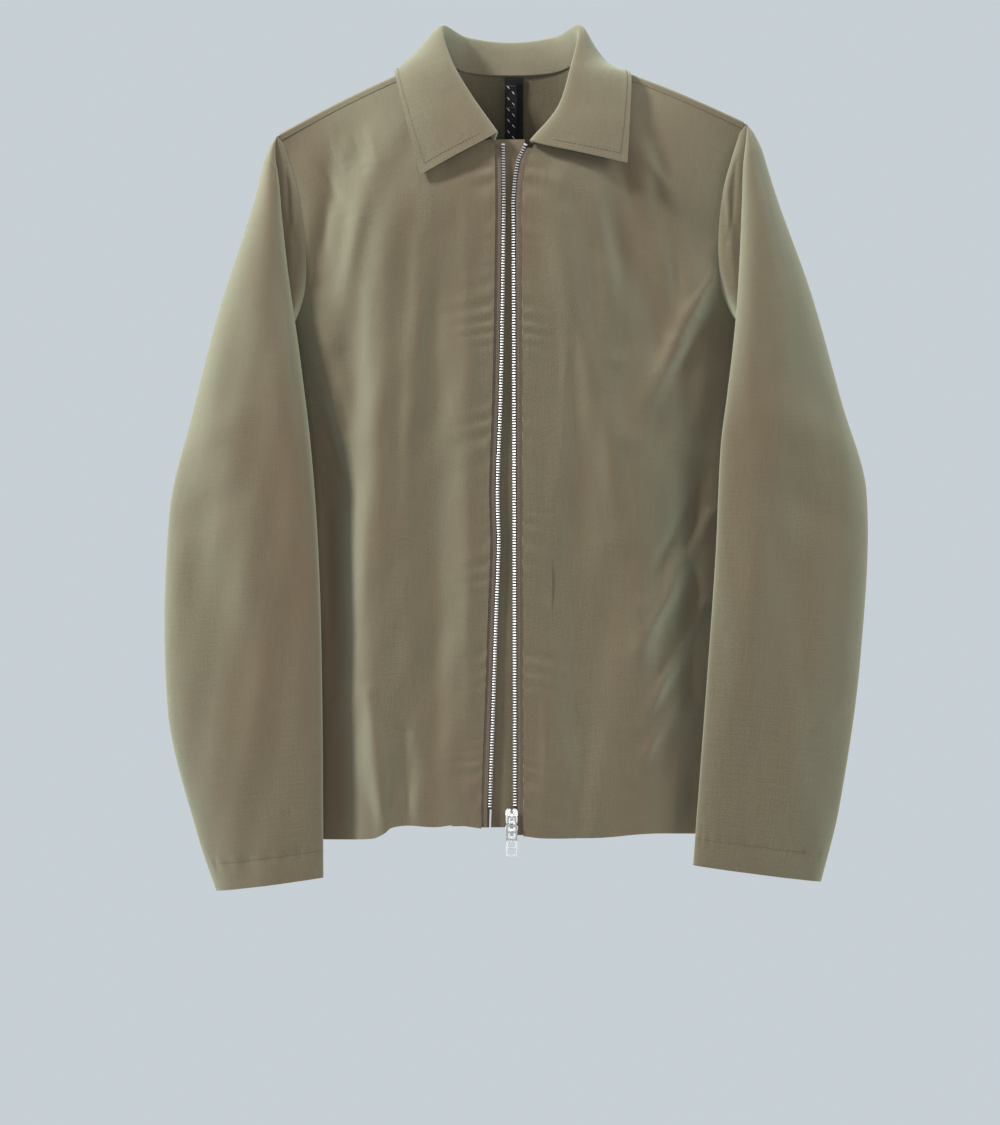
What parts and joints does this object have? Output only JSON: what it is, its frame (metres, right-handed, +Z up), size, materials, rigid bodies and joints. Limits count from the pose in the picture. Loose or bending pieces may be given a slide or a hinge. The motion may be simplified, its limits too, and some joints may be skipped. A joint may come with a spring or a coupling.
{
  "type": "beekeeping jacket",
  "caption": "Long-sleeved cloth jacket with a pointed fold-down collar and a two-way front zip, hanging open from its shoulders.",
  "frame": {"origin": "middle of the hanger seat: midway between the shoulder seams, at the level where they come out from under the collar", "axes": "+Z up, the chest faces -Y, +X towards the wearer's left"},
  "size_m": [0.6397, 0.1305, 0.7854],
  "materials": {
    "cloth": "matte shot weave",
    "lining": "matte",
    "tape": "woven",
    "braid": "woven, flecked",
    "webbing": "woven",
    "metal": "bright"
  },
  "bodies": {
    "garment": {"back_panel": "cloth", "upper_collar": "cloth", "collar_interlining": "lining", "under_collar": "cloth", "collar_stand": "cloth", "zip_guard": "cloth", "insertion_pin": "metal", "retainer_pin": "metal", "hang_loop": "braid", "hang_loop_backing": "webbing", "right_front_panel": "cloth", "right_front_facing": "cloth", "right_zip_tape": "tape", "right_tooth_row": "metal", "right_top_stop": "metal", "left_front_panel": "cloth", "left_front_facing": "cloth", "left_zip_tape": "tape", "left_tooth_row": "metal", "left_top_stop": "metal"},
    "right_sleeve": {"right_upper_sleeve": "cloth", "right_under_sleeve": "cloth", "right_cuff_hem_front": "cloth", "right_cuff_hem_back": "cloth"},
    "left_sleeve": {"left_upper_sleeve": "cloth", "left_under_sleeve": "cloth", "left_cuff_hem_front": "cloth", "left_cuff_hem_back": "cloth"},
    "lower_slider": {"lower_slider_body": "metal", "lower_slider_bridge": "metal"},
    "lower_pull": {"lower_pull": "metal"},
    "upper_slider": {"upper_slider_body": "metal", "upper_slider_bridge": "metal"},
    "upper_pull": {"upper_pull": "metal"}
  },
  "joints": [
    {"name": "right_sleeve_swing", "type": "hinge", "parent": "garment", "child": "right_sleeve", "pos_m": [-0.2135, 0, -0.055], "axis": [0, 1, 0], "range_deg": [0, 35]},
    {"name": "left_sleeve_swing", "type": "hinge", "parent": "garment", "child": "left_sleeve", "pos_m": [0.2155, 0, -0.044], "axis": [0, -1, 0], "range_deg": [0, 35]},
    {"name": "lower_slider_slide", "type": "slide", "parent": "garment", "child": "lower_slider", "axis": [-0.0027, 0, 1], "range_m": [0, 0.2]},
    {"name": "upper_slider_slide", "type": "slide", "parent": "lower_slider", "child": "upper_slider", "axis": [-0.0027, 0, 1], "range_m": [0, 0.2]},
    {"name": "upper_pull_swing", "type": "hinge", "parent": "upper_slider", "child": "upper_pull", "pos_m": [0.0005, -0.05293, -0.6711], "axis": [-1, 0, 0], "range_deg": [0, 140]},
    {"name": "lower_pull_swing", "type": "hinge", "parent": "lower_slider", "child": "lower_pull", "pos_m": [0.0005, -0.05293, -0.6845], "axis": [-1, 0, 0], "range_deg": [0, 140]}
  ],
  "couplings": [
    {"joint": "lower_pull_swing", "follows": "upper_pull_swing", "ratio": 1}
  ]
}
